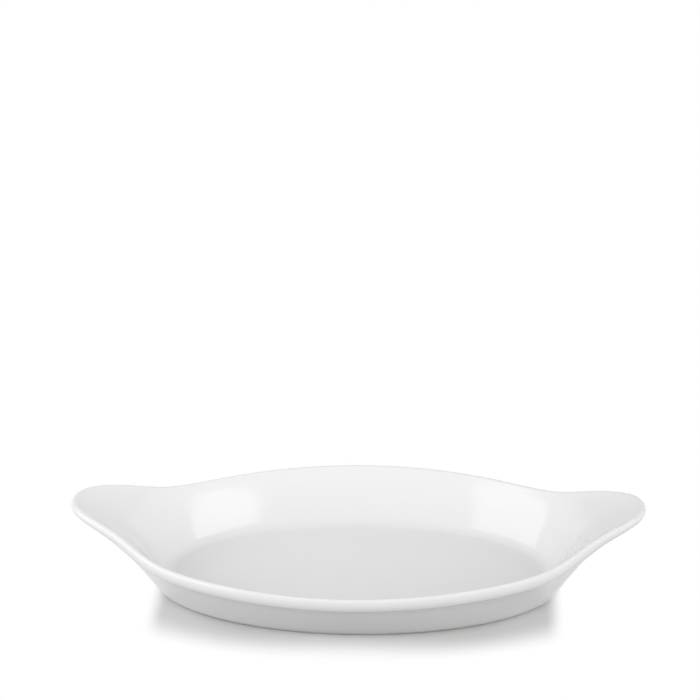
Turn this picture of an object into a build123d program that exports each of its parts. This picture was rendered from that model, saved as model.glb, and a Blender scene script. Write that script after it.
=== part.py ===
from build123d import *
import os
from math import acos, atan2, cos, exp, pi, sin, tau

# Oval eared gratin dish, pressed in one piece and glazed.
# Millimetres, +Z up, origin on the table under the middle of the dish, X along the ears.

# Outline seen from above
overall_length = 280.0
overall_width = 152.0
oval_length = 255.6
ear_half_width = 32.4
ear_power = 3.9
ear_rise_half_width = 47.0
ear_rise_power = 3.45
lens_share = 0.22

# Heights over the table
side_height = 28.6
ear_height = 43.3
floor_height = 5.0

# Rolled rim, which stands proud of the outer wall and reaches further down along the sides
rim_thickness = 3.4
rim_proud = 0.5
rim_side_drop = 1.2
ear_crease_share = 0.7
side_crease_share = 1.2

# Inside floor, whose edge lies inside the foot's outline by these distances at the ends and at the sides
floor_end_inset = 5.5
floor_side_inset = 3.0
floor_fillet_reach = 4.0

# Ear shelf: how far the wall rises over its straight line, and where it breaks into the shelf
shoulder_lift = 10.5
ear_thickness = 3.4
ear_shoulder_share = 0.44
side_shoulder_share = 0.86
side_under_share = 0.70
shoulder_wall_share = 0.16
shoulder_shelf_share = 0.22

# Foot, with a bare ring around a shallow recess
foot_length = 198.0
foot_width = 111.0
foot_edge_reach = 1.2
foot_ring_width = 6.0
foot_recess_depth = 1.6
foot_recess_fillet = 1.0

# Glaze
glaze_thickness = 0.3
glaze_line_height = 1.6
underside_glaze_gap = 0.5

# Fineness of the skin, and one overrun for every cut
around_steps = 64
roll_steps = 10
turn_step = 0.001
overrun = 5.0

# The rim's middle line, inside the overall sizes by half the rim's thickness and the glaze
rim_radius = rim_thickness / 2
rim_inset = rim_radius + glaze_thickness
rim_half_length = overall_length / 2 - rim_inset
rim_half_width = overall_width / 2 - rim_inset
oval_half_length = oval_length / 2 - rim_inset
ear_reach = rim_half_length - oval_half_length
ear_rise = ear_height - side_height
ear_spread = atan2(ear_half_width, rim_half_width)
ear_rise_spread = atan2(ear_rise_half_width, rim_half_width)
floor_length = foot_length - floor_end_inset * 2
floor_width = foot_width - floor_side_inset * 2
up = Vector(0, 0, 1)

# Steps along each band of a section: fillet, wall, shoulder, shelf, roll, crease, shelf, shoulder, wall, foot
band_steps = (2, 1, 2, 1, roll_steps, 2, 1, 2, 1, 2)


def ear_fade(turn, spread, power):
    """One at an ear's tip, falling to zero along the sides."""
    around = turn % pi
    fold = min(around, pi - around)
    return exp(-((fold / spread) ** power))


def rim_centre(turn):
    """The middle of the rolled rim at one place around the dish."""
    reach = ear_reach * ear_fade(turn, ear_spread, ear_power)
    rise = ear_rise * ear_fade(turn, ear_rise_spread, ear_rise_power)
    lens = 1 - lens_share * cos(turn) ** 2
    return Vector(
        (oval_half_length + reach) * cos(turn),
        rim_half_width * sin(turn) * lens,
        side_height - rim_inset + rise,
    )


class RimFrame:
    """The rolled rim at one place: its middle, and the outward and upward directions across it."""

    def __init__(self, turn):
        ahead = rim_centre(turn + turn_step) - rim_centre(turn - turn_step)
        self.centre = rim_centre(turn)
        self.outward = ahead.cross(up).normalized()
        self.upward = self.outward.cross(ahead).normalized()

    def slope(self, start):
        """The angle, in the plane across the rim, of the line from start to the rim's middle."""
        line = self.centre - start
        return atan2(line.dot(self.upward), line.dot(self.outward))

    def point(self, angle, radius):
        """The point at this angle and distance from the rim's middle."""
        return self.centre + (self.outward * cos(angle) + self.upward * sin(angle)) * radius

    def roll_point(self, angle, drop):
        """The point of the roll at this angle. Outside, past its top, the roll is deeper by the drop."""
        return self.point(angle, rim_radius) - self.upward * (drop * (1 - sin(min(angle, pi / 2))))

    def roll_heading(self, angle, drop):
        """The direction in which the roll runs on at this angle, outside and downwards."""
        along = self.outward * (rim_radius * sin(angle))
        return (along - self.upward * ((rim_radius + drop) * cos(angle))).normalized()


def oval_point(length, width, height, turn):
    """A point on a level oval."""
    return Vector(length / 2 * cos(turn), width / 2 * sin(turn), height)


def between(start, end, share):
    """The point that lies this share of the way from start to end."""
    return start + (end - start) * share


def bend(start, corner, end):
    """The start and the middle of a smooth bend that replaces a corner."""
    return [start, between(between(start, corner, 1 / 2), between(corner, end, 1 / 2), 1 / 2)]


def section(turn):
    """The surface points at one place around the dish, from the floor's edge over the rim to the foot."""
    rim = RimFrame(turn)
    ear = ear_fade(turn, ear_spread, ear_power)
    side = 1 - ear_fade(turn, ear_rise_spread, ear_rise_power)
    corner = oval_point(floor_length, floor_width, floor_height, turn)
    foot = oval_point(foot_length, foot_width, 0, turn)

    # Inside, the wall breaks at a shoulder into the ear's shelf. Along the sides it runs straight on.
    share = side_shoulder_share + (ear_shoulder_share - side_shoulder_share) * ear
    straight_rim = rim.point(rim.slope(corner) + pi / 2, rim_radius)
    shoulder = between(corner, straight_rim, share) + up * (shoulder_lift * ear)
    roll_start = rim.slope(shoulder) + pi / 2
    shelf_end = rim.point(roll_start, rim_radius)

    # Outside, the ear follows its shelf one thickness below it, and the sides run straight.
    wall_radius = rim_radius - rim_proud
    run = (shelf_end - corner).normalized()
    level = Vector(run.X, run.Y, 0).normalized()
    below = level * run.Z - up * run.dot(level)
    under_shelf = shoulder + below * ear_thickness
    under_share = side_under_share + (ear_shoulder_share - side_under_share) * ear
    straight_side = between(foot, rim.point(rim.slope(foot) - pi / 2, wall_radius), under_share)
    outer_shoulder = between(straight_side, under_shelf, ear)

    # The roll ends in a crease where it meets the outer wall.
    touch_angle = rim.slope(outer_shoulder) - pi / 2
    touch = rim.point(touch_angle, wall_radius)
    wall_normal = (touch - rim.centre).normalized()
    down = (outer_shoulder - touch).normalized()
    drop = rim_side_drop * side
    crease_share = ear_crease_share + (side_crease_share - ear_crease_share) * side
    roll_stop = touch_angle - acos(wall_radius / rim_radius) * crease_share
    roll_end = rim.roll_point(roll_stop, drop)
    heading = rim.roll_heading(roll_stop, drop)
    crease_reach = (touch - roll_end).dot(wall_normal) / heading.dot(wall_normal)
    crease = roll_end + heading * crease_reach
    wall_top = crease + down * crease_reach

    floor_start = corner - level * floor_fillet_reach
    wall_start = corner + (shoulder - corner).normalized() * floor_fillet_reach
    wall_end = between(shoulder, wall_start, shoulder_wall_share)
    shelf_start = between(shoulder, shelf_end, shoulder_shelf_share)
    under_start = between(outer_shoulder, wall_top, shoulder_shelf_share)
    under_end = between(outer_shoulder, foot, shoulder_wall_share)
    foot_start = foot + (outer_shoulder - foot).normalized() * foot_edge_reach
    foot_end = foot - level * foot_edge_reach

    roll_turn = roll_stop - roll_start
    roll = [rim.roll_point(roll_start + roll_turn * step / roll_steps, drop) for step in range(roll_steps)]
    points = bend(floor_start, corner, wall_start) + [wall_start]
    points += bend(wall_end, shoulder, shelf_start) + [shelf_start]
    points += roll
    points += bend(roll_end, crease, wall_top) + [wall_top]
    points += bend(under_start, outer_shoulder, under_end) + [under_end]
    points += bend(foot_start, foot, foot_end) + [foot_end]
    return points


def raised(rows, thickness):
    """The rows of surface points, moved out square to the surface."""
    moved_rows = []
    for number, row in enumerate(rows):
        ahead = rows[(number + 1) % len(rows)]
        behind = rows[number - 1]
        moved = [row[0] + up * thickness]
        for place in range(1, len(row) - 1):
            along = row[place + 1] - row[place - 1]
            around = ahead[place] - behind[place]
            moved.append(row[place] + along.cross(around).normalized() * thickness)
        moved.append(row[-1] - up * thickness)
        moved_rows.append(moved)
    return moved_rows


def ring(points):
    """A closed smooth wire through one point of every row."""
    return Wire([Edge.make_spline(points, periodic=True, parameters=list(range(len(points) + 1)))])


def skin_solid(rows):
    """The solid inside a skin through the rows, with the floor and the base as its flat ends."""
    rings = [ring(list(points)) for points in zip(*rows)]
    faces = [Face(rings[0]), Face(rings[-1])]
    first = 0
    for steps in band_steps:
        band = rings[first:first + steps + 1]
        faces += Shell.make_loft(band, ruled=steps == 1).faces()
        first += steps
    return Solid(Shell(faces))


def foot_recess():
    """The shallow oval recess inside the foot ring, reaching below the table as a cutter."""
    inset = foot_edge_reach + foot_ring_width
    outline = Ellipse(foot_length / 2 - inset, foot_width / 2 - inset)
    cutter = extrude(Pos(Z=-overrun) * outline, overrun + foot_recess_depth)
    return fillet(cutter.edges().group_by(Axis.Z)[-1], foot_recess_fillet)


def glaze_coat(rows, clay):
    """The glass over the inside, the rim and the outside, down to the glaze line."""
    coated = skin_solid(raised(rows, glaze_thickness))
    depth = glaze_line_height + overrun
    bare = Pos(Z=glaze_line_height - depth / 2) * Box(overall_length, overall_width, depth)
    return coated - bare - clay


def underside_glaze():
    """The patch of glass on the recess's flat roof, which stands clear of the ring."""
    inset = foot_edge_reach + foot_ring_width + foot_recess_fillet + underside_glaze_gap
    outline = Ellipse(foot_length / 2 - inset, foot_width / 2 - inset)
    return extrude(Pos(Z=foot_recess_depth - glaze_thickness) * outline, glaze_thickness)


def dish():
    """Every piece of the dish by its node's name."""
    rows = [section(tau * number / around_steps) for number in range(around_steps)]
    blank = skin_solid(rows)
    return {
        "clay_body": blank - foot_recess(),
        "glaze_coat": glaze_coat(rows, blank),
        "underside_glaze": underside_glaze(),
    }


if __name__ == "__main__":
    os.makedirs("parts", exist_ok=True)
    for name, piece in dish().items():
        export_step(piece, f"parts/{name}.step")
        box = piece.bounding_box()
        print(name, piece.is_valid, round(piece.area), box.min, box.max)
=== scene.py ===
import logging
from collections.abc import Callable
from dataclasses import dataclass, fields, replace
from enum import Enum
from math import cos, pi, radians, sin, tau

import bpy
from mathutils import Matrix, Quaternion, Vector


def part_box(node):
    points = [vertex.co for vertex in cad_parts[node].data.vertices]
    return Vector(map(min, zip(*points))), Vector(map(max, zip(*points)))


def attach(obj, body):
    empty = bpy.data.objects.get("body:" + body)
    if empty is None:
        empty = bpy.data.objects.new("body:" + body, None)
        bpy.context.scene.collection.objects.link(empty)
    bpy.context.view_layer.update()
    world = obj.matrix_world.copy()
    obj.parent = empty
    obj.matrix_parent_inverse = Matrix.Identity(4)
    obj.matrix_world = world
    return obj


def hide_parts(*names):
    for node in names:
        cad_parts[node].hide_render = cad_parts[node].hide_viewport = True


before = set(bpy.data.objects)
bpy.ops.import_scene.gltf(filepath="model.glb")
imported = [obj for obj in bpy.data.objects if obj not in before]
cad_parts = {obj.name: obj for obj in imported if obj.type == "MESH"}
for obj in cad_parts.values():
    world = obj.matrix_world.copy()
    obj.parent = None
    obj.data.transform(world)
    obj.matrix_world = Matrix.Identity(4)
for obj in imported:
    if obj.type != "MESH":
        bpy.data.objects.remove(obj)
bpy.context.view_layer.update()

# Oval eared gratin dish in a plain white studio. Metres, +Z up, X along the ears.
log = logging.getLogger("gratin_dish")
MILLIMETRE = 0.001
MERGE_DISTANCE = 0.0005 * MILLIMETRE


class Number:
    """A number that a node tree works out for every point, with Python's own arithmetic."""

    def __init__(self, tree: bpy.types.NodeTree, socket: bpy.types.NodeSocket) -> None:
        """Keeps the tree and the output socket that carries the number."""
        self.tree = tree
        self.socket = socket

    def _math(self, operation: str, *others: "Number | float", clamp: bool = False) -> "Number":
        """Adds one Math node that works on this number first.

        Args:
            operation: the Math node's operation.
            others: what goes into its other inputs.
            clamp: whether the result is kept between zero and one.

        Returns:
            The node's result.
        """
        node = self.tree.nodes.new("ShaderNodeMath")
        node.operation = operation
        node.use_clamp = clamp
        for socket, value in zip(node.inputs, (self, *others)):
            feed(socket, value)
        return Number(self.tree, node.outputs[0])

    def __add__(self, other: "Number | float") -> "Number":
        """The sum."""
        return self._math("ADD", other)

    def __radd__(self, other: float) -> "Number":
        """The sum, with the plain number first."""
        return self._math("ADD", other)

    def __sub__(self, other: "Number | float") -> "Number":
        """The difference."""
        return self._math("SUBTRACT", other)

    def __rsub__(self, other: float) -> "Number":
        """The plain number less this one."""
        return (-self)._math("ADD", other)

    def __mul__(self, other: "Number | float") -> "Number":
        """The product."""
        return self._math("MULTIPLY", other)

    def __rmul__(self, other: float) -> "Number":
        """The product, with the plain number first."""
        return self._math("MULTIPLY", other)

    def __truediv__(self, other: "Number | float") -> "Number":
        """The quotient."""
        return self._math("DIVIDE", other)

    def __neg__(self) -> "Number":
        """The number with its sign changed."""
        return self._math("MULTIPLY", -1.0)

    def __pow__(self, other: "Number | float") -> "Number":
        """The number raised to a power."""
        return self._math("POWER", other)

    def __mod__(self, other: "Number | float") -> "Number":
        """What is left after dividing."""
        return self._math("FLOORED_MODULO", other)

    def __gt__(self, other: "Number | float") -> "Number":
        """One where this number is the larger, and zero elsewhere."""
        return self._math("GREATER_THAN", other)

    def least(self, other: "Number | float") -> "Number":
        """The smaller of the two."""
        return self._math("MINIMUM", other)

    def most(self, other: "Number | float") -> "Number":
        """The larger of the two."""
        return self._math("MAXIMUM", other)

    def floor(self) -> "Number":
        """The whole number below."""
        return self._math("FLOOR")

    def sine(self) -> "Number":
        """The sine."""
        return self._math("SINE")

    def cosine(self) -> "Number":
        """The cosine."""
        return self._math("COSINE")

    def arc_cosine(self) -> "Number":
        """The angle that has this cosine."""
        return self._math("ARCCOSINE")

    def angle_over(self, level: "Number") -> "Number":
        """The angle whose rise is this number over that level run."""
        return self._math("ARCTAN2", level)

    def exponent(self) -> "Number":
        """The natural exponent."""
        return self._math("EXPONENT")

    def root(self) -> "Number":
        """The square root."""
        return self._math("SQRT")

    def share_of(self, whole: "Number | float") -> "Number":
        """The quotient, kept between zero and one."""
        return self._math("DIVIDE", whole, clamp=True)

    def smooth(self, low: float, high: float) -> "Number":
        """Zero below low, one above high, and a soft step between them.

        Args:
            low: where the step starts.
            high: where it ends.

        Returns:
            The step's height, from zero to one.
        """
        node = self.tree.nodes.new("ShaderNodeMapRange")
        node.interpolation_type = "SMOOTHSTEP"
        for socket, value in zip(node.inputs, (self, low, high)):
            feed(socket, value)
        return Number(self.tree, node.outputs[0])


class Place:
    """A point or a direction that a node tree works out for every point."""

    def __init__(self, tree: bpy.types.NodeTree, socket: bpy.types.NodeSocket) -> None:
        """Keeps the tree and the output socket that carries the vector."""
        self.tree = tree
        self.socket = socket

    @staticmethod
    def of(tree: bpy.types.NodeTree, *parts: Number | float) -> "Place":
        """The vector with these three parts.

        Args:
            tree: the tree that the vector belongs to.
            parts: its X, Y and Z.

        Returns:
            The vector.
        """
        node = tree.nodes.new("ShaderNodeCombineXYZ")
        for socket, value in zip(node.inputs, parts):
            feed(socket, value)
        return Place(tree, node.outputs[0])

    def _node(self, operation: str, *others: "Place") -> bpy.types.Node:
        """Adds one Vector Math node that works on this vector first.

        Args:
            operation: the node's operation.
            others: what goes into its other inputs.

        Returns:
            The node.
        """
        node = self.tree.nodes.new("ShaderNodeVectorMath")
        node.operation = operation
        for socket, value in zip(node.inputs, (self, *others)):
            feed(socket, value)
        return node

    def __add__(self, other: "Place") -> "Place":
        """The sum."""
        return Place(self.tree, self._node("ADD", other).outputs["Vector"])

    def __sub__(self, other: "Place") -> "Place":
        """The difference."""
        return Place(self.tree, self._node("SUBTRACT", other).outputs["Vector"])

    def __mul__(self, scale: Number | float) -> "Place":
        """The vector made this many times as long."""
        node = self._node("SCALE")
        feed(node.inputs["Scale"], scale)
        return Place(self.tree, node.outputs["Vector"])

    def dot(self, other: "Place") -> Number:
        """The dot product."""
        return Number(self.tree, self._node("DOT_PRODUCT", other).outputs["Value"])

    def cross(self, other: "Place") -> "Place":
        """The cross product."""
        return Place(self.tree, self._node("CROSS_PRODUCT", other).outputs["Vector"])

    def unit(self) -> "Place":
        """The same direction with length one."""
        return Place(self.tree, self._node("NORMALIZE").outputs["Vector"])

    def part(self, axis: str) -> Number:
        """One part of the vector, X, Y or Z.

        Args:
            axis: which part.

        Returns:
            The part.
        """
        node = self.tree.nodes.new("ShaderNodeSeparateXYZ")
        feed(node.inputs[0], self)
        return Number(self.tree, node.outputs[axis])

    def towards(self, end: "Place", share: Number | float) -> "Place":
        """The point that lies this share of the way to the end.

        Args:
            end: where a share of one lies.
            share: how far to go, with no limit at either end.

        Returns:
            The point.
        """
        node = self.tree.nodes.new("ShaderNodeMix")
        node.data_type = "VECTOR"
        node.clamp_factor = False
        feed(node.inputs["Factor"], share)
        vectors = [socket for socket in node.inputs if socket.type == "VECTOR" and socket.name in "AB"]
        feed(vectors[0], self)
        feed(vectors[1], end)
        results = [socket for socket in node.outputs if socket.type == "VECTOR"]
        return Place(self.tree, results[0])


def feed(socket: bpy.types.NodeSocket, value: Number | Place | float | tuple[float, ...]) -> None:
    """Links a worked-out value to an input, or sets a plain one on it.

    Args:
        socket: the input.
        value: what goes into it.
    """
    if isinstance(value, (Number, Place)):
        value.tree.links.new(value.socket, socket)
    else:
        socket.default_value = value


Amount = Number | float
Colour = tuple[float, float, float]


@dataclass(frozen=True)
class DishSizes:
    """The dish's driving sizes in metres, and its shares."""

    overall_length: Amount
    overall_width: Amount
    oval_length: Amount = 0.2556
    ear_half_width: Amount = 0.0324
    ear_power: Amount = 3.9
    ear_rise_half_width: Amount = 0.0470
    ear_rise_power: Amount = 3.45
    lens_share: Amount = 0.22
    side_height: Amount = 0.0286
    ear_height: Amount = 0.0433
    floor_height: Amount = 0.0050
    rim_thickness: Amount = 0.0034
    rim_proud: Amount = 0.0005
    rim_side_drop: Amount = 0.0012
    ear_crease_share: Amount = 0.7
    side_crease_share: Amount = 1.2
    floor_end_inset: Amount = 0.0055
    floor_side_inset: Amount = 0.0030
    floor_fillet_reach: Amount = 0.0040
    shoulder_lift: Amount = 0.0105
    ear_thickness: Amount = 0.0034
    ear_shoulder_share: Amount = 0.44
    side_shoulder_share: Amount = 0.86
    side_under_share: Amount = 0.70
    shoulder_wall_share: Amount = 0.16
    shoulder_shelf_share: Amount = 0.22
    foot_length: Amount = 0.1980
    foot_width: Amount = 0.1110
    foot_edge_reach: Amount = 0.0012
    foot_ring_width: Amount = 0.0060
    foot_recess_depth: Amount = 0.0016
    foot_recess_fillet: Amount = 0.0010
    ring_edge_reach: Amount = 0.0003
    glaze_thickness: Amount = 0.0003
    glaze_line_height: Amount = 0.0016
    glaze_lip_reach: Amount = 0.0004
    glaze_line_wander: Amount = 0.00018
    underside_glaze_gap: Amount = 0.0005

    @classmethod
    def from_frame(cls) -> "DishSizes":
        """The sizes, with the length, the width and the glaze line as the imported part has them.

        Returns:
            The sizes.
        """
        low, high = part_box("glaze_coat")
        return cls(
            overall_length=high.x - low.x,
            overall_width=high.y - low.y,
            glaze_line_height=low.z,
        )


@dataclass(frozen=True)
class Stretch:
    """One stretch of a path over the dish's surface, and how thick the glaze lies there."""

    steps: int
    place: Callable[[Number], Place]
    depth: Callable[[Number], Amount]


class RimFrame:
    """The rolled rim at one place round the dish: its middle, and the directions across it."""

    def __init__(self, form: "DishForm", turn: Number) -> None:
        """Works out the frame from the form's rim line.

        Args:
            form: the dish's formula.
            turn: the place round the dish, as an angle.
        """
        self.radius = form.rim_radius
        ahead = form.rim_centre(turn + form.TURN_STEP) - form.rim_centre(turn - form.TURN_STEP)
        self.centre = form.rim_centre(turn)
        self.outward = ahead.cross(form.up).unit()
        self.upward = self.outward.cross(ahead).unit()

    def slope(self, start: Place) -> Number:
        """The angle, in the plane across the rim, of the line from start to the rim's middle."""
        line = self.centre - start
        return line.dot(self.upward).angle_over(line.dot(self.outward))

    def point(self, angle: Number, radius: Amount) -> Place:
        """The point at this angle and distance from the rim's middle."""
        return self.centre + (self.outward * angle.cosine() + self.upward * angle.sine()) * radius

    def roll_point(self, angle: Number, drop: Amount) -> Place:
        """The point of the roll at this angle. Outside, past its top, the roll is deeper by the drop."""
        return self.point(angle, self.radius) - self.upward * (drop * (1.0 - angle.least(pi / 2).sine()))

    def roll_heading(self, angle: Number, drop: Amount) -> Place:
        """The direction in which the roll runs on at this angle, outside and downwards."""
        along = self.outward * (self.radius * angle.sine())
        return (along - self.upward * ((self.radius + drop) * angle.cosine())).unit()


class DishForm:
    """The dish's surface as a formula of the turn round it."""

    TURN_STEP = 0.004

    def __init__(self, tree: bpy.types.NodeTree, sizes: DishSizes) -> None:
        """Works out the rim's line from the driving sizes.

        Args:
            tree: the tree that the formula's nodes go into.
            sizes: the driving sizes, as the tree's inputs.
        """
        self.tree = tree
        self.sizes = sizes
        self.up = Place.of(tree, 0.0, 0.0, 1.0)
        self.rim_radius = sizes.rim_thickness / 2
        inset = self.rim_radius + sizes.glaze_thickness
        self.rim_half_width = sizes.overall_width / 2 - inset
        self.oval_half_length = sizes.oval_length / 2 - inset
        self.ear_reach = (sizes.overall_length - sizes.oval_length) / 2
        self.rim_height = sizes.side_height - inset
        self.ear_rise = sizes.ear_height - sizes.side_height
        self.ear_spread = sizes.ear_half_width.angle_over(self.rim_half_width)
        self.ear_rise_spread = sizes.ear_rise_half_width.angle_over(self.rim_half_width)
        self.floor_half_length = sizes.foot_length / 2 - sizes.floor_end_inset
        self.floor_half_width = sizes.foot_width / 2 - sizes.floor_side_inset

    def ear_fade(self, turn: Number, spread: Number, power: Amount) -> Number:
        """One at an ear's tip, falling to zero along the sides.

        Args:
            turn: the place round the dish.
            spread: the angle at which the fade has mostly fallen.
            power: how steeply it falls there.

        Returns:
            The fade.
        """
        around = turn % pi
        fold = around.least(pi - around)
        return (-((fold / spread) ** power)).exponent()

    def rim_centre(self, turn: Number) -> Place:
        """The middle of the rolled rim at one place round the dish.

        Args:
            turn: the place round the dish.

        Returns:
            The point.
        """
        sizes = self.sizes
        reach = self.ear_reach * self.ear_fade(turn, self.ear_spread, sizes.ear_power)
        rise = self.ear_rise * self.ear_fade(turn, self.ear_rise_spread, sizes.ear_rise_power)
        along, across = turn.cosine(), turn.sine()
        lens = 1.0 - sizes.lens_share * along * along
        return Place.of(
            self.tree,
            (self.oval_half_length + reach) * along,
            self.rim_half_width * across * lens,
            self.rim_height + rise,
        )

    def oval(self, half_length: Amount, half_width: Amount, height: Amount, turn: Number) -> Place:
        """A point on a level oval."""
        return Place.of(self.tree, half_length * turn.cosine(), half_width * turn.sine(), height)


def bend(start: Place, corner: Place, end: Place, share: Number) -> Place:
    """A point on the smooth bend that replaces a corner.

    Args:
        start: where the bend leaves the first line.
        corner: where the two lines would meet.
        end: where the bend joins the second line.
        share: how far along the bend the point lies.

    Returns:
        The point on the bend.
    """
    return start.towards(corner, share).towards(corner.towards(end, share), share)


def straight(start: Place, end: Place) -> Callable[[Number], Place]:
    """A straight run between two points."""
    return lambda share: start.towards(end, share)


def curved(start: Place, corner: Place, end: Place) -> Callable[[Number], Place]:
    """A smooth bend between two points."""
    return lambda share: bend(start, corner, end, share)


class DishSection:
    """The named points of the surface at one place round the dish."""

    def __init__(self, form: DishForm, turn: Number) -> None:
        """Works out every point, from the floor's edge over the rim to the foot.

        Args:
            form: the dish's formula.
            turn: the place round the dish, as an angle.
        """
        sizes = form.sizes
        self.form = form
        self.turn = turn
        self.rim = RimFrame(form, turn)
        ear = form.ear_fade(turn, form.ear_spread, sizes.ear_power)
        side = 1.0 - form.ear_fade(turn, form.ear_rise_spread, sizes.ear_rise_power)
        self.corner = form.oval(form.floor_half_length, form.floor_half_width, sizes.floor_height, turn)
        self.foot = form.oval(sizes.foot_length / 2, sizes.foot_width / 2, 0.0, turn)
        self._shape_inside(ear)
        self._shape_outside(ear)
        self._shape_rim(side)
        self._shape_foot()

    def _shape_inside(self, ear: Number) -> None:
        """Places the shoulder where the wall breaks into the ear's shelf.

        Args:
            ear: one at an ear's tip, and zero along the sides.
        """
        sizes, rim = self.form.sizes, self.rim
        gain = sizes.ear_shoulder_share - sizes.side_shoulder_share
        straight_rim = rim.point(rim.slope(self.corner) + pi / 2, self.form.rim_radius)
        lift = self.form.up * (sizes.shoulder_lift * ear)
        self.shoulder = self.corner.towards(straight_rim, sizes.side_shoulder_share + gain * ear) + lift
        self.roll_start = rim.slope(self.shoulder) + pi / 2
        self.shelf_end = rim.point(self.roll_start, self.form.rim_radius)
        self.wall_start = self.corner + (self.shoulder - self.corner).unit() * sizes.floor_fillet_reach
        self.wall_end = self.shoulder.towards(self.wall_start, sizes.shoulder_wall_share)
        self.shelf_start = self.shoulder.towards(self.shelf_end, sizes.shoulder_shelf_share)

    def _shape_outside(self, ear: Number) -> None:
        """Places the outer shoulder, which follows the ear's shelf one thickness below it.

        Args:
            ear: one at an ear's tip, and zero along the sides.
        """
        sizes, rim = self.form.sizes, self.rim
        self.wall_radius = self.form.rim_radius - sizes.rim_proud
        run = (self.shelf_end - self.corner).unit()
        self.level = Place.of(self.form.tree, run.part("X"), run.part("Y"), 0.0).unit()
        below = self.level * run.part("Z") - self.form.up * run.dot(self.level)
        under_shelf = self.shoulder + below * sizes.ear_thickness
        under_share = sizes.side_under_share + (sizes.ear_shoulder_share - sizes.side_under_share) * ear
        straight_rim = rim.point(rim.slope(self.foot) - pi / 2, self.wall_radius)
        self.outer_shoulder = self.foot.towards(straight_rim, under_share).towards(under_shelf, ear)
        self.floor_start = self.corner - self.level * sizes.floor_fillet_reach

    def _shape_rim(self, side: Number) -> None:
        """Ends the roll in a crease where it meets the outer wall.

        Args:
            side: zero at an ear's tip, and one along the sides.
        """
        sizes, rim = self.form.sizes, self.rim
        touch_angle = rim.slope(self.outer_shoulder) - pi / 2
        touch = rim.point(touch_angle, self.wall_radius)
        wall_normal = (touch - rim.centre).unit()
        down = (self.outer_shoulder - touch).unit()
        self.drop = sizes.rim_side_drop * side
        share = sizes.ear_crease_share + (sizes.side_crease_share - sizes.ear_crease_share) * side
        self.roll_stop = touch_angle - (self.wall_radius / rim.radius).arc_cosine() * share
        self.roll_end = rim.roll_point(self.roll_stop, self.drop)
        heading = rim.roll_heading(self.roll_stop, self.drop)
        reach = (touch - self.roll_end).dot(wall_normal) / heading.dot(wall_normal)
        self.crease = self.roll_end + heading * reach
        self.wall_top = self.crease + down * reach

    def _shape_foot(self) -> None:
        """Places the ends of the outer wall and the bend at the foot."""
        sizes = self.form.sizes
        self.under_start = self.outer_shoulder.towards(self.wall_top, sizes.shoulder_shelf_share)
        self.under_end = self.outer_shoulder.towards(self.foot, sizes.shoulder_wall_share)
        rise = (self.outer_shoulder - self.foot).unit()
        self.foot_start = self.foot + rise * sizes.foot_edge_reach
        self.foot_end = self.foot - self.level * sizes.foot_edge_reach
        self.climb = rise

    def wall_at(self, height: Amount) -> Place:
        """The point of the outer wall at this height."""
        return self.foot + self.climb * (height / self.climb.part("Z"))

    def inside_and_rim(self, fineness: int) -> list[Stretch]:
        """The path from the floor's middle over the rim to the outer shoulder's end.

        Args:
            fineness: how many times finer than the plainest path the steps are.

        Returns:
            The stretches, in order.
        """
        glaze = GlazeBuild()
        middle = self.form.oval(0.0, 0.0, self.form.sizes.floor_height, self.turn)
        turned = self.roll_stop - self.roll_start

        def rolled(share: Number) -> Place:
            """The round top of the rim."""
            return self.rim.roll_point(self.roll_start + turned * share, self.drop)

        fillet = curved(self.floor_start, self.corner, self.wall_start)
        inner_bend = curved(self.wall_end, self.shoulder, self.shelf_start)
        crease = curved(self.roll_end, self.crease, self.wall_top)
        outer_bend = curved(self.under_start, self.outer_shoulder, self.under_end)
        return [
            Stretch(4 * fineness, straight(middle, self.floor_start), glaze.plain),
            Stretch(4 * fineness, fillet, glaze.pooled),
            Stretch(3 * fineness, straight(self.wall_start, self.wall_end), glaze.plain),
            Stretch(3 * fineness, inner_bend, glaze.plain),
            Stretch(3 * fineness, straight(self.shelf_start, self.shelf_end), glaze.plain),
            Stretch(8 * fineness, rolled, glaze.thinned),
            Stretch(2 * fineness, crease, glaze.pooled),
            Stretch(3 * fineness, straight(self.wall_top, self.under_start), glaze.plain),
            Stretch(3 * fineness, outer_bend, glaze.plain),
        ]


@dataclass(frozen=True)
class GlazeBuild:
    """How the glaze gathers and thins, as shares of its usual thickness."""

    pool_share: float = 0.5
    thin_share: float = 0.25

    def plain(self, share: Number) -> Amount:
        """The usual thickness."""
        return 1.0

    def pooled(self, share: Number) -> Amount:
        """Thicker in the middle of a hollow bend."""
        return 1.0 + self.pool_share * (share * pi).sine()

    def thinned(self, share: Number) -> Amount:
        """Thinner over the middle of a round edge."""
        return 1.0 - self.thin_share * (share * pi).sine()

    def lip(self, share: Number) -> Amount:
        """Rounded off to nothing where the glaze ends."""
        return (share * pi / 2).cosine()


class Skin(Enum):
    """The layers of the dish, each a piece of its own."""

    CLAY = "clay_body"
    GLAZE = "glaze_coat"
    UNDERSIDE = "underside_glaze"


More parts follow.
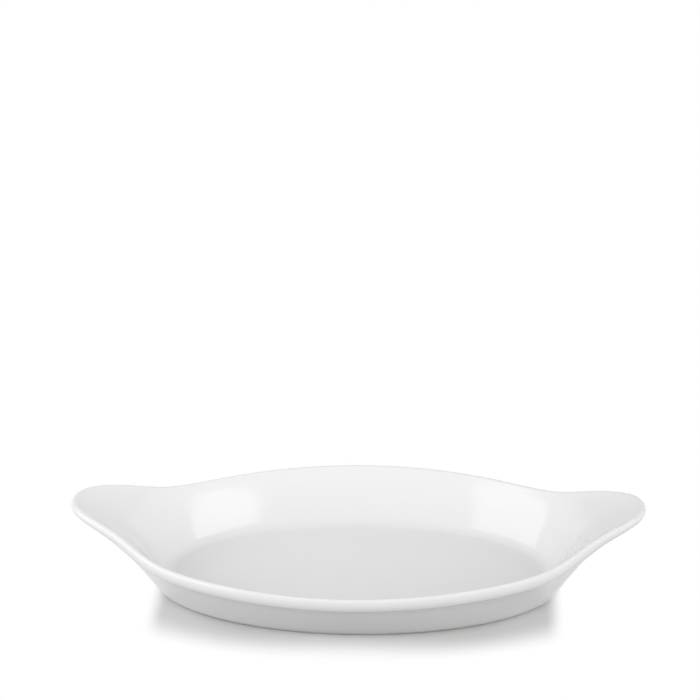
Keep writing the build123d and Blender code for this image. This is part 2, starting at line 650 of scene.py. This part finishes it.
@dataclass(frozen=True)
class FinishTree:
    """A material's node tree and the shader that ends it."""

    material: bpy.types.Material
    shader: bpy.types.Node

    @classmethod
    def named(cls, name: str) -> "FinishTree":
        """An empty material of this name with one Principled shader.

        Args:
            name: the material's name.

        Returns:
            The material's tree.
        """
        material = bpy.data.materials.new(name)
        material.use_nodes = True
        nodes = material.node_tree.nodes
        nodes.clear()
        output = nodes.new("ShaderNodeOutputMaterial")
        shader = nodes.new("ShaderNodeBsdfPrincipled")
        material.node_tree.links.new(shader.outputs[0], output.inputs["Surface"])
        return cls(material, shader)

    @property
    def tree(self) -> bpy.types.NodeTree:
        """The material's node tree."""
        return self.material.node_tree

    def object_place(self) -> Place:
        """The point on the object, in its own coordinates."""
        node = self.tree.nodes.new("ShaderNodeTexCoord")
        return Place(self.tree, node.outputs["Object"])

    def noise(self, place: Place, grain: float, detail: float = 2.0) -> Number:
        """Soft noise from zero to one.

        Args:
            place: where the noise is read.
            grain: the size of its largest features, in metres.
            detail: how many finer layers are added.

        Returns:
            The noise.
        """
        node = self.tree.nodes.new("ShaderNodeTexNoise")
        node.inputs["Scale"].default_value = 1 / grain
        node.inputs["Detail"].default_value = detail
        feed(node.inputs["Vector"], place)
        return Number(self.tree, node.outputs[0])

    def dots(self, place: Place, spacing: float, radius: float, kept_share: float) -> Number:
        """Small scattered dots, one at their middle and zero between them.

        Args:
            place: where the dots are read.
            spacing: how far apart they would lie if all were kept.
            radius: how large one is.
            kept_share: the share of them that shows.

        Returns:
            The dots.
        """
        node = self.tree.nodes.new("ShaderNodeTexVoronoi")
        node.inputs["Scale"].default_value = 1 / spacing
        feed(node.inputs["Vector"], place)
        distance = Number(self.tree, node.outputs["Distance"]) * spacing
        chance = Place(self.tree, node.outputs["Color"]).part("X")
        near = 1.0 - distance.smooth(0.0, radius)
        return near * (chance > 1.0 - kept_share)

    def colours(self, share: Number, first: Colour, second: Colour | Place) -> Place:
        """The colour that lies this share of the way from the first to the second.

        Args:
            share: how far to go.
            first: the colour at zero.
            second: the colour at one.

        Returns:
            The colour.
        """
        node = self.tree.nodes.new("ShaderNodeMix")
        node.data_type = "RGBA"
        feed(node.inputs["Factor"], share)
        ends = [socket for socket in node.inputs if socket.type == "RGBA"]
        feed(ends[0], (*first, 1.0))
        feed(ends[1], second if isinstance(second, Place) else (*second, 1.0))
        return Place(self.tree, [socket for socket in node.outputs if socket.type == "RGBA"][0])

    def finish(self, colour: Place, roughness: Number, height: Number) -> bpy.types.Material:
        """Links the colour, the roughness and the relief to the shader.

        Args:
            colour: the surface's colour.
            roughness: its roughness.
            height: its relief, in metres.

        Returns:
            The material.
        """
        bump = self.tree.nodes.new("ShaderNodeBump")
        bump.inputs["Strength"].default_value = 1.0
        bump.inputs["Distance"].default_value = 1.0
        feed(bump.inputs["Height"], height)
        feed(self.shader.inputs["Base Color"], colour)
        feed(self.shader.inputs["Roughness"], roughness)
        self.tree.links.new(bump.outputs["Normal"], self.shader.inputs["Normal"])
        return self.material


@dataclass(frozen=True)
class GlazeFinish:
    """Opaque white glaze: glossy, faintly rippled, with a few specks and pinholes."""

    name: str = "white_glaze"
    colour: Colour = (0.800, 0.800, 0.797)
    cloud_colour: Colour = (0.790, 0.790, 0.788)
    thin_colour: Colour = (0.765, 0.760, 0.748)
    speck_colour: Colour = (0.52, 0.49, 0.44)
    gloss_index: float = 1.52
    roughness: float = 0.075
    roughness_spread: float = 0.05
    ripple_grain: float = 14 * MILLIMETRE
    ripple_height: float = 0.012 * MILLIMETRE
    peel_grain: float = 2.2 * MILLIMETRE
    peel_height: float = 0.0012 * MILLIMETRE
    pinhole_spacing: float = 9 * MILLIMETRE
    pinhole_radius: float = 0.16 * MILLIMETRE
    pinhole_depth: float = 0.05 * MILLIMETRE
    pinhole_share: float = 0.12
    speck_spacing: float = 11 * MILLIMETRE
    speck_radius: float = 0.14 * MILLIMETRE
    speck_share: float = 0.10
    cloud_grain: float = 35 * MILLIMETRE
    thin_depth: float = 0.35
    full_depth: float = 1.0

    def material(self) -> bpy.types.Material:
        """Builds the glaze's material.

        Returns:
            The material.
        """
        finish = FinishTree.named(self.name)
        finish.shader.inputs["IOR"].default_value = self.gloss_index
        place = finish.object_place()
        clouds = finish.noise(place, self.cloud_grain)
        specks = finish.dots(place, self.speck_spacing, self.speck_radius, self.speck_share)
        holes = finish.dots(place, self.pinhole_spacing, self.pinhole_radius, self.pinhole_share)
        depth = finish.tree.nodes.new("ShaderNodeAttribute")
        depth.attribute_name = "glaze_depth"
        thick = Number(finish.tree, depth.outputs["Fac"]).smooth(self.thin_depth, self.full_depth)
        colour = finish.colours(clouds, self.colour, self.cloud_colour)
        colour = finish.colours(thick, self.thin_colour, colour)
        colour = finish.colours(1.0 - specks, self.speck_colour, colour)
        roughness = self.roughness + self.roughness_spread * finish.noise(place, self.ripple_grain)
        ripple = finish.noise(place, self.ripple_grain) * self.ripple_height
        peel = finish.noise(place, self.peel_grain) * self.peel_height
        return finish.finish(colour, roughness, ripple + peel - holes * self.pinhole_depth)


@dataclass(frozen=True)
class ClayFinish:
    """Bare fired clay: matt, fine-grained and ground smooth where it stands."""

    name: str = "fired_clay"
    colour: Colour = (0.72, 0.70, 0.66)
    dark_colour: Colour = (0.62, 0.595, 0.55)
    grain_colour: Colour = (0.40, 0.36, 0.31)
    roughness: float = 0.72
    roughness_spread: float = 0.16
    cloud_grain: float = 18 * MILLIMETRE
    cloud_detail: float = 4.0
    cloud_low: float = 0.35
    cloud_high: float = 0.75
    grain: float = 0.6 * MILLIMETRE
    grain_detail: float = 3.0
    grain_height: float = 0.03 * MILLIMETRE
    dot_spacing: float = 3 * MILLIMETRE
    dot_radius: float = 0.18 * MILLIMETRE
    dot_share: float = 0.25

    def material(self) -> bpy.types.Material:
        """Builds the clay's material.

        Returns:
            The material.
        """
        finish = FinishTree.named(self.name)
        place = finish.object_place()
        clouds = finish.noise(place, self.cloud_grain, self.cloud_detail)
        grains = finish.noise(place, self.grain, self.grain_detail)
        dots = finish.dots(place, self.dot_spacing, self.dot_radius, self.dot_share)
        clouds = clouds.smooth(self.cloud_low, self.cloud_high)
        colour = finish.colours(clouds, self.colour, self.dark_colour)
        colour = finish.colours(1.0 - dots, self.grain_colour, colour)
        roughness = self.roughness + self.roughness_spread * grains
        return finish.finish(colour, roughness, grains * self.grain_height)


class SkinTree:
    """A Geometry Nodes tree that makes one layer of the dish from its sizes."""

    def __init__(self, skin: Skin, sizes: DishSizes, material: bpy.types.Material) -> None:
        """Makes an empty tree with one named input for every size.

        Args:
            skin: which layer the tree makes.
            sizes: the values that the inputs get.
            material: the layer's material.
        """
        self.skin = skin
        self.material = material
        self.tree = bpy.data.node_groups.new(f"{skin.value}_shape", "GeometryNodeTree")
        interface = self.tree.interface
        interface.new_socket("Geometry", in_out="OUTPUT", socket_type="NodeSocketGeometry")
        self.values: dict[str, float] = {}
        names = [field.name for field in fields(sizes)]
        for name in names:
            shown = name.replace("_", " ").capitalize()
            socket = interface.new_socket(shown, in_out="INPUT", socket_type="NodeSocketFloat")
            self.values[socket.identifier] = getattr(sizes, name)
        entry = self.tree.nodes.new("NodeGroupInput")
        inputs = {name: Number(self.tree, socket) for name, socket in zip(names, entry.outputs)}
        self.sizes = replace(sizes, **inputs)

    def node(self, kind: str, **settings: object) -> bpy.types.Node:
        """Adds a node and sets its properties.

        Args:
            kind: the node's type.
            settings: the values of its properties.

        Returns:
            The node.
        """
        made = self.tree.nodes.new(kind)
        for name, value in settings.items():
            setattr(made, name, value)
        return made

    def swept(
        self, path: Callable[[DishSection], list[Stretch]], columns: int
    ) -> tuple[bpy.types.NodeSocket, Number]:
        """A closed skin that carries a path right round the dish.

        Args:
            path: gives the path's stretches at one place round the dish.
            columns: how many places round the dish are made.

        Returns:
            The skin's geometry, and the glaze's depth on it as a share.
        """
        index = Number(self.tree, self.node("GeometryNodeInputIndex").outputs[0])
        form = DishForm(self.tree, self.sizes)
        grid = self.node("GeometryNodeMeshGrid")
        feed(grid.inputs["Vertices X"], columns + 1)
        rows = Number(self.tree, self.node("FunctionNodeInputInt").outputs[0])
        turn = ((index / rows).floor() % float(columns)) * (tau / columns)
        stretches = path(DishSection(form, turn))
        count = sum(stretch.steps for stretch in stretches) + 1
        rows.socket.node.integer = count
        feed(grid.inputs["Vertices Y"], count)
        row = index % rows
        place, depth = self._along(stretches, row)
        moved = self.node("GeometryNodeSetPosition")
        self.tree.links.new(grid.outputs["Mesh"], moved.inputs["Geometry"])
        feed(moved.inputs["Position"], place)
        outward = self.node("GeometryNodeFlipFaces")
        self.tree.links.new(moved.outputs[0], outward.inputs["Mesh"])
        kept = self.node("GeometryNodeStoreNamedAttribute", data_type="FLOAT", domain="POINT")
        kept.inputs["Name"].default_value = "glaze_depth"
        self.tree.links.new(outward.outputs[0], kept.inputs["Geometry"])
        feed(kept.inputs["Value"], depth)
        named = self.node("GeometryNodeInputNamedAttribute", data_type="FLOAT")
        named.inputs["Name"].default_value = "glaze_depth"
        return self._merged(kept.outputs[0]), Number(self.tree, named.outputs["Attribute"])

    def _along(self, stretches: list[Stretch], row: Number) -> tuple[Place, Number]:
        """Picks each row's place and depth from the stretch that the row lies on.

        Args:
            stretches: the path's stretches, in order.
            row: the number of the row.

        Returns:
            The row's place, and the glaze's depth there as a share.
        """
        start = 0
        place: Place | None = None
        depth: Number | None = None
        for stretch in stretches:
            share = (row - float(start)).share_of(float(stretch.steps))
            here, deep = stretch.place(share), stretch.depth(share)
            if place is None:
                place, depth = here, share * 0.0 + deep
            else:
                place = self._switch("VECTOR", row > float(start), place, here)
                depth = self._switch("FLOAT", row > float(start), depth, deep)
            start += stretch.steps
        return place, depth

    def _switch(
        self, kind: str, when: Number, before: Place | Number, after: Place | Amount
    ) -> Place | Number:
        """Takes the second value where the condition holds.

        Args:
            kind: the type of the values.
            when: the condition.
            before: the value where it doesn't hold.
            after: the value where it does.

        Returns:
            The value taken.
        """
        node = self.node("GeometryNodeSwitch", input_type=kind)
        feed(node.inputs["Switch"], when)
        feed(node.inputs["False"], before)
        feed(node.inputs["True"], after)
        return type(before)(self.tree, node.outputs["Output"])

    def _merged(self, geometry: bpy.types.NodeSocket) -> bpy.types.NodeSocket:
        """The geometry with the points that lie on each other made one.

        Args:
            geometry: the skin or layer with doubled points.

        Returns:
            The closed geometry.
        """
        node = self.node("GeometryNodeMergeByDistance")
        node.inputs["Distance"].default_value = MERGE_DISTANCE
        self.tree.links.new(geometry, node.inputs["Geometry"])
        return node.outputs["Geometry"]

    def shelled(self, skin: bpy.types.NodeSocket, depth: Number) -> bpy.types.NodeSocket:
        """A closed layer of glaze that lies on a skin.

        Args:
            skin: the surface under the glaze.
            depth: the glaze's depth on it, as a share of the usual thickness.

        Returns:
            The layer's geometry.
        """
        normal = Place(self.tree, self.node("GeometryNodeInputNormal").outputs[0])
        lifted = self.node("GeometryNodeSetPosition")
        self.tree.links.new(skin, lifted.inputs["Geometry"])
        feed(lifted.inputs["Offset"], normal * (depth * self.sizes.glaze_thickness))
        turned = self.node("GeometryNodeFlipFaces")
        self.tree.links.new(skin, turned.inputs["Mesh"])
        joined = self.node("GeometryNodeJoinGeometry")
        self.tree.links.new(turned.outputs[0], joined.inputs[0])
        self.tree.links.new(lifted.outputs[0], joined.inputs[0])
        return self._merged(joined.outputs[0])

    def piece(self, geometry: bpy.types.NodeSocket, name: str) -> bpy.types.Object:
        """Ends the tree, runs it with the sizes and keeps its result as a plain mesh.

        Args:
            geometry: what the tree has made.
            name: the piece's name.

        Returns:
            The piece, at the origin.
        """
        smooth = self.node("GeometryNodeSetShadeSmooth")
        realised = self.node("GeometryNodeRealizeInstances")
        dressed = self.node("GeometryNodeSetMaterial")
        dressed.inputs["Material"].default_value = self.material
        leaving = self.node("NodeGroupOutput")
        self.tree.links.new(geometry, smooth.inputs[0])
        self.tree.links.new(smooth.outputs[0], realised.inputs[0])
        self.tree.links.new(realised.outputs[0], dressed.inputs[0])
        self.tree.links.new(dressed.outputs[0], leaving.inputs[0])
        made = bpy.data.objects.new(name, bpy.data.meshes.new(name))
        bpy.context.scene.collection.objects.link(made)
        modifier = made.modifiers.new(name, "NODES")
        modifier.node_group = self.tree
        for identifier, value in self.values.items():
            modifier[identifier] = value
        shown = made.evaluated_get(bpy.context.evaluated_depsgraph_get())
        mesh = bpy.data.meshes.new_from_object(shown)
        made.modifiers.remove(modifier)
        made.data = mesh
        mesh.name = name
        return made


@dataclass(frozen=True)
class GratinDish:
    """The dish: fired clay, the glaze over it and the glaze under its floor."""

    sizes: DishSizes
    glaze: GlazeFinish = GlazeFinish()
    underside: GlazeFinish = GlazeFinish(
        name="underside_white_glaze",
        colour=(0.790, 0.788, 0.780),
        cloud_colour=(0.772, 0.769, 0.758),
        pinhole_share=0.35,
        roughness=0.11,
    )
    clay: ClayFinish = ClayFinish()
    body: str = "root"
    glaze_columns: int = 400
    clay_columns: int = 256
    glaze_fineness: int = 3
    clay_fineness: int = 1
    wander_scale: float = 9.0
    pool_edge_share: float = 2.0

    def build(self) -> None:
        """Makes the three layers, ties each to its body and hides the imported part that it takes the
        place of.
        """
        makers = {
            Skin.CLAY: self._clay_body,
            Skin.GLAZE: self._glaze_coat,
            Skin.UNDERSIDE: self._underside_glaze,
        }
        for skin, make in makers.items():
            piece = make()
            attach(piece, self.body)
            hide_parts(skin.value)
            log.info("%s: %d faces, rides on %s", piece.name, len(piece.data.polygons), self.body)

    def _glaze_coat(self) -> bpy.types.Object:
        """The glaze over the inside, the rim and the outside, down to a slightly wandering line.

        Returns:
            The piece.
        """
        tree = SkinTree(Skin.GLAZE, self.sizes, self.glaze.material())

        def path(section: DishSection) -> list[Stretch]:
            """From the floor's middle to the glaze line.

            Args:
                section: the surface's points at one place round the dish.

            Returns:
                The stretches, in order.
            """
            sizes, glaze = section.form.sizes, GlazeBuild()
            wander = tree.node("ShaderNodeTexNoise", noise_dimensions="3D")
            wander.inputs["Scale"].default_value = self.wander_scale
            circle = section.form.oval(1.0, 1.0, 0.0, section.turn)
            feed(wander.inputs["Vector"], circle)
            drift = (Number(tree.tree, wander.outputs[0]) - 0.5) * 2.0 * sizes.glaze_line_wander
            line = section.wall_at(sizes.glaze_line_height + sizes.glaze_line_wander + drift)
            lip = line + section.climb * sizes.glaze_lip_reach

            def rounded(share: Number) -> Place:
                """The wall under the glaze's rounded edge."""
                return lip.towards(line, (share * pi / 2).sine())

            fine = self.glaze_fineness
            return section.inside_and_rim(fine) + [
                Stretch(3 * fine, straight(section.under_end, lip), glaze.plain),
                Stretch(2 * fine, rounded, glaze.lip),
            ]

        skin, depth = tree.swept(path, self.glaze_columns)
        return tree.piece(tree.shelled(skin, depth), "dish_glaze_coat")

    def _clay_body(self) -> bpy.types.Object:
        """The fired clay, whose foot ring and recess edge show under the glaze line.

        Returns:
            The piece.
        """
        tree = SkinTree(Skin.CLAY, self.sizes, self.clay.material())

        def path(section: DishSection) -> list[Stretch]:
            """From the floor's middle over the rim and foot to the recess's middle.

            Args:
                section: the surface's points at one place round the dish.

            Returns:
                The stretches, in order.
            """
            form, sizes, glaze = section.form, section.form.sizes, GlazeBuild()
            inset = sizes.foot_edge_reach + sizes.foot_ring_width
            half_length, half_width = sizes.foot_length / 2 - inset, sizes.foot_width / 2 - inset
            edge, fillet = sizes.ring_edge_reach, sizes.foot_recess_fillet
            depth = sizes.foot_recess_depth

            def recess(inward: Amount, height: Amount) -> Place:
                """A point of the recess, this far inside its edge."""
                return form.oval(half_length - inward, half_width - inward, height, section.turn)

            zero = edge * 0.0
            ring_in, ring_corner, rise = recess(-edge, 0.0), recess(zero, 0.0), recess(zero, edge)
            wall, wall_corner = recess(zero, depth - fillet), recess(zero, depth)
            roof = recess(fillet, depth)
            middle = form.oval(0.0, 0.0, depth, section.turn)
            foot_bend = curved(section.foot_start, section.foot, section.foot_end)
            fine = self.clay_fineness
            return section.inside_and_rim(fine) + [
                Stretch(3 * fine, straight(section.under_end, section.foot_start), glaze.plain),
                Stretch(6 * fine, foot_bend, glaze.plain),
                Stretch(4 * fine, straight(section.foot_end, ring_in), glaze.plain),
                Stretch(4 * fine, curved(ring_in, ring_corner, rise), glaze.plain),
                Stretch(2 * fine, straight(rise, wall), glaze.plain),
                Stretch(6 * fine, curved(wall, wall_corner, roof), glaze.plain),
                Stretch(8 * fine, straight(roof, middle), glaze.plain),
            ]

        skin, _ = tree.swept(path, self.clay_columns)
        return tree.piece(skin, "dish_clay_body")

    def _underside_glaze(self) -> bpy.types.Object:
        """The flat pool of glaze in the recess, with a rounded edge.

        Returns:
            The piece.
        """
        tree = SkinTree(Skin.UNDERSIDE, self.sizes, self.underside.material())

        def path(section: DishSection) -> list[Stretch]:
            """From the middle of the pool's back round its edge to the middle of its face.

            Args:
                section: the surface's points at one place round the dish.

            Returns:
                The stretches, in order.
            """
            form, sizes, glaze = section.form, section.form.sizes, GlazeBuild()
            ring = sizes.foot_edge_reach + sizes.foot_ring_width
            inset = ring + sizes.foot_recess_fillet + sizes.underside_glaze_gap
            half_length, half_width = sizes.foot_length / 2 - inset, sizes.foot_width / 2 - inset
            roof, face = sizes.foot_recess_depth, sizes.foot_recess_depth - sizes.glaze_thickness

            def pool(inward: Amount, height: Amount) -> Place:
                """A point this far inside the pool's edge."""
                return form.oval(half_length - inward, half_width - inward, height, section.turn)

            reach = sizes.glaze_thickness * self.pool_edge_share
            zero = reach * 0.0
            rim, back, corner = pool(reach, face), pool(zero, roof), pool(zero, face)
            top = form.oval(0.0, 0.0, roof, section.turn)
            bottom = form.oval(0.0, 0.0, face, section.turn)
            return [
                Stretch(4, straight(top, back), glaze.plain),
                Stretch(8, curved(back, corner, rim), glaze.plain),
                Stretch(10, straight(rim, bottom), glaze.plain),
            ]

        skin, _ = tree.swept(path, self.clay_columns)
        return tree.piece(skin, "dish_underside_glaze")


def towards_sky(azimuth: float, elevation: float) -> Vector:
    """The direction at this azimuth, from the front towards +X, and this elevation."""
    level = cos(elevation)
    return Vector((sin(azimuth) * level, -cos(azimuth) * level, sin(elevation)))


@dataclass(frozen=True)
class StudioCamera:
    """The camera, at the photograph's viewing angle."""

    elevation: float = radians(26.56)
    azimuth: float = radians(3.43)
    roll: float = radians(-0.80)
    distance: float = 1.200
    aim_height: float = 0.020
    frame_pixels: float = 700.0
    focal_pixels: float = 2440.0
    aim_pixel: tuple[float, float] = (355.0, 544.55)
    sensor_width: float = 36.0

    def build(self) -> None:
        """Makes the camera and gives it to the scene."""
        data = bpy.data.cameras.new("studio_camera")
        data.sensor_width = self.sensor_width
        data.lens = self.focal_pixels / self.frame_pixels * self.sensor_width
        camera = bpy.data.objects.new("studio_camera", data)
        bpy.context.scene.collection.objects.link(camera)
        bpy.context.scene.camera = camera
        back = towards_sky(self.azimuth, self.elevation)
        right = (-back).cross(Vector((0, 0, 1))).normalized()
        up = right.cross(-back)
        middle = self.frame_pixels / 2
        aside = (self.aim_pixel[0] - middle) / self.focal_pixels
        below = (self.aim_pixel[1] - middle) / self.focal_pixels
        forward = (-back - right * aside + up * below).normalized()
        right = forward.cross(Vector((0, 0, 1))).normalized()
        up = right.cross(forward)
        right, up = (
            right * cos(self.roll) + up * sin(self.roll),
            up * cos(self.roll) - right * sin(self.roll),
        )
        turned = Matrix((right, up, -forward)).transposed().to_4x4()
        position = Vector((0, 0, self.aim_height)) + back * self.distance
        camera.matrix_world = Matrix.Translation(position) @ turned
        log.info("camera at %s, lens %.1f mm", [round(value, 4) for value in position], data.lens)


@dataclass(frozen=True)
class SoftBox:
    """A flat soft lamp that faces the dish."""

    name: str
    azimuth: float
    elevation: float
    distance: float
    width: float
    height: float
    brightness: float
    roll: float = 0.0
    aim: tuple[float, float, float] = (0.0, 0.0, 0.02)

    def build(self) -> None:
        """Makes the lamp. Its brightness is that of its face, where one is white."""
        data = bpy.data.lights.new(self.name, "AREA")
        data.shape = "RECTANGLE"
        data.size = self.width
        data.size_y = self.height
        data.energy = self.brightness * pi * self.width * self.height
        lamp = bpy.data.objects.new(self.name, data)
        bpy.context.scene.collection.objects.link(lamp)
        back = towards_sky(self.azimuth, self.elevation)
        lamp.location = Vector(self.aim) + back * self.distance
        lamp.rotation_mode = "QUATERNION"
        lamp.rotation_quaternion = back.to_track_quat("Z", "Y") @ Quaternion((0, 0, 1), self.roll)
        lamp.visible_camera = False


@dataclass(frozen=True)
class SkyGlow:
    """Soft light from one side of the studio's walls and ceiling, without an edge."""

    azimuth: float
    elevation: float
    softness: float
    brightness: float

    def strength(self, direction: Place) -> Number:
        """The glow in a direction: its brightness at the middle, fading with the angle from it."""
        middle = Place.of(direction.tree, *towards_sky(self.azimuth, self.elevation))
        return (direction.dot(middle).most(0.0) ** (1 / self.softness)) * self.brightness


class SeenBy(Enum):
    """The kinds of ray that see the white background itself."""

    CAMERA = "Is Camera Ray"
    GLOSSY = "Is Glossy Ray"
    TRANSMISSION = "Is Transmission Ray"


def seen(tree: bpy.types.NodeTree, kinds: tuple[SeenBy, ...] = tuple(SeenBy)) -> Number:
    """One for the rays that see the background itself, and zero for the rest.

    Args:
        tree: the node tree that asks.
        kinds: the kinds of ray that count.

    Returns:
        The one or the zero.
    """
    path = tree.nodes.new("ShaderNodeLightPath")
    share: Number | float = 0.0
    for kind in kinds:
        share = Number(tree, path.outputs[kind.value]).most(share)
    return share


@dataclass(frozen=True)
class Studio:
    """A white sweep under soft lamps, with the dish's own shadow close round its foot, and a painted
    shadow that darkens the floor towards both ends of the foot.
    """

    foot_length: float
    foot_width: float
    floor_size: float = 6.0
    floor_roughness: float = 0.9
    floor_brightness: float = 0.45
    seen_brightness: float = 0.92
    # Painted shadow: how dark the card is painted for the camera towards both ends of the foot, and how
    # far along the foot it reaches that.
    painted_shadow_brightness: float = 0.68
    painted_shadow_share: float = 0.65
    shadow_start_share: float = 1.12
    shadow_end_share: float = 1.50
    shadow_side_start_share: float = 0.92
    shadow_side_end_share: float = 1.02
    glows: tuple[SkyGlow, ...] = (
        SkyGlow(radians(0), radians(48), 0.2, 0.42),
        SkyGlow(radians(0), radians(15), 0.2, 1.75),
        SkyGlow(radians(90), radians(15), 0.2, 2.70),
        SkyGlow(radians(-90), radians(48), 0.2, 0.54),
        SkyGlow(radians(-90), radians(15), 0.2, 1.28),
    )
    lamps: tuple[SoftBox, ...] = (
        SoftBox("right_box", radians(67.7), radians(45.3), 1.5, 1.009, 0.242, 2.13, radians(-20.0)),
        SoftBox("left_box", radians(-76.0), radians(30.0), 0.9, 0.785, 0.627, 1.62, radians(26.7)),
    )

    def build(self) -> None:
        """Makes the world, the floor and the lamps."""
        bpy.context.scene.view_settings.view_transform = "Standard"
        self._make_world()
        self._make_floor()
        for lamp in self.lamps:
            lamp.build()
            log.info("lamp %s, brightness %.2f", lamp.name, lamp.brightness)

    def _make_world(self) -> None:
        """White for the rays that see it, and the soft glows for the rest."""
        world = bpy.data.worlds.new("white_studio")
        bpy.context.scene.world = world
        world.use_nodes = True
        tree = world.node_tree
        tree.nodes.clear()
        output = tree.nodes.new("ShaderNodeOutputWorld")
        background = tree.nodes.new("ShaderNodeBackground")
        background.inputs["Color"].default_value = (1.0, 1.0, 1.0, 1.0)
        coordinates = tree.nodes.new("ShaderNodeTexCoord")
        direction = Place(tree, coordinates.outputs["Generated"])
        light = sum((glow.strength(direction) for glow in self.glows), 0.0)
        white = seen(tree)
        feed(background.inputs["Strength"], white + (1.0 - white) * light)
        tree.links.new(background.outputs[0], output.inputs["Surface"])

    def _make_floor(self) -> None:
        """A floor that keeps the dish's shadow, carries a painted shadow towards both ends of the foot,
        and is plain white further off.
        """
        half = self.floor_size / 2
        mesh = bpy.data.meshes.new("studio_floor")
        corners = [(-half, -half, 0), (half, -half, 0), (half, half, 0), (-half, half, 0)]
        mesh.from_pydata(corners, [], [(0, 1, 2, 3)])
        floor = bpy.data.objects.new("studio_floor", mesh)
        bpy.context.scene.collection.objects.link(floor)
        mesh.materials.append(self._floor_material())

    def _floor_material(self) -> bpy.types.Material:
        """White card that fades into the white background with the distance from the foot. For the
        camera it is painted darker towards both ends of the foot: a painted shadow.

        Returns:
            The material.
        """
        finish = FinishTree.named("white_card")
        tree = finish.tree
        finish.shader.inputs["Roughness"].default_value = self.floor_roughness
        finish.shader.inputs["Specular IOR Level"].default_value = 0.0
        white = seen(tree)
        place = finish.object_place()
        along = place.part("X") * (2 / self.foot_length)
        across = place.part("Y") * (2 / self.foot_width)
        ovals = (along * along + across * across).root()
        aside = (along * along).root()
        # Painted shadow: for the camera the card is painted darker towards both ends of the foot.
        painted_side_shadow = aside.smooth(0.0, self.painted_shadow_share) * seen(tree, (SeenBy.CAMERA,))
        painted_side_shadow = painted_side_shadow * (self.painted_shadow_brightness - self.seen_brightness)
        level = self.floor_brightness + (self.seen_brightness + painted_side_shadow - self.floor_brightness) * white
        feed(finish.shader.inputs["Base Color"], Place.of(tree, level, level, level))
        front = ovals.smooth(self.shadow_start_share, self.shadow_end_share)
        sides = aside.smooth(self.shadow_side_start_share, self.shadow_side_end_share)
        kept = (1.0 - front) * (1.0 - sides)
        glow = tree.nodes.new("ShaderNodeEmission")
        mix = tree.nodes.new("ShaderNodeMixShader")
        output = next(node for node in tree.nodes if node.type == "OUTPUT_MATERIAL")
        feed(mix.inputs[0], (1.0 - kept) * white)
        tree.links.new(finish.shader.outputs[0], mix.inputs[1])
        tree.links.new(glow.outputs[0], mix.inputs[2])
        tree.links.new(mix.outputs[0], output.inputs["Surface"])
        return finish.material


def main() -> None:
    """Builds the camera, the dish and the studio."""
    logging.basicConfig(level=logging.INFO, format="%(message)s")
    sizes = DishSizes.from_frame()
    StudioCamera().build()
    GratinDish(sizes).build()
    Studio(sizes.foot_length, sizes.foot_width).build()


if __name__ == "__main__":
    main()
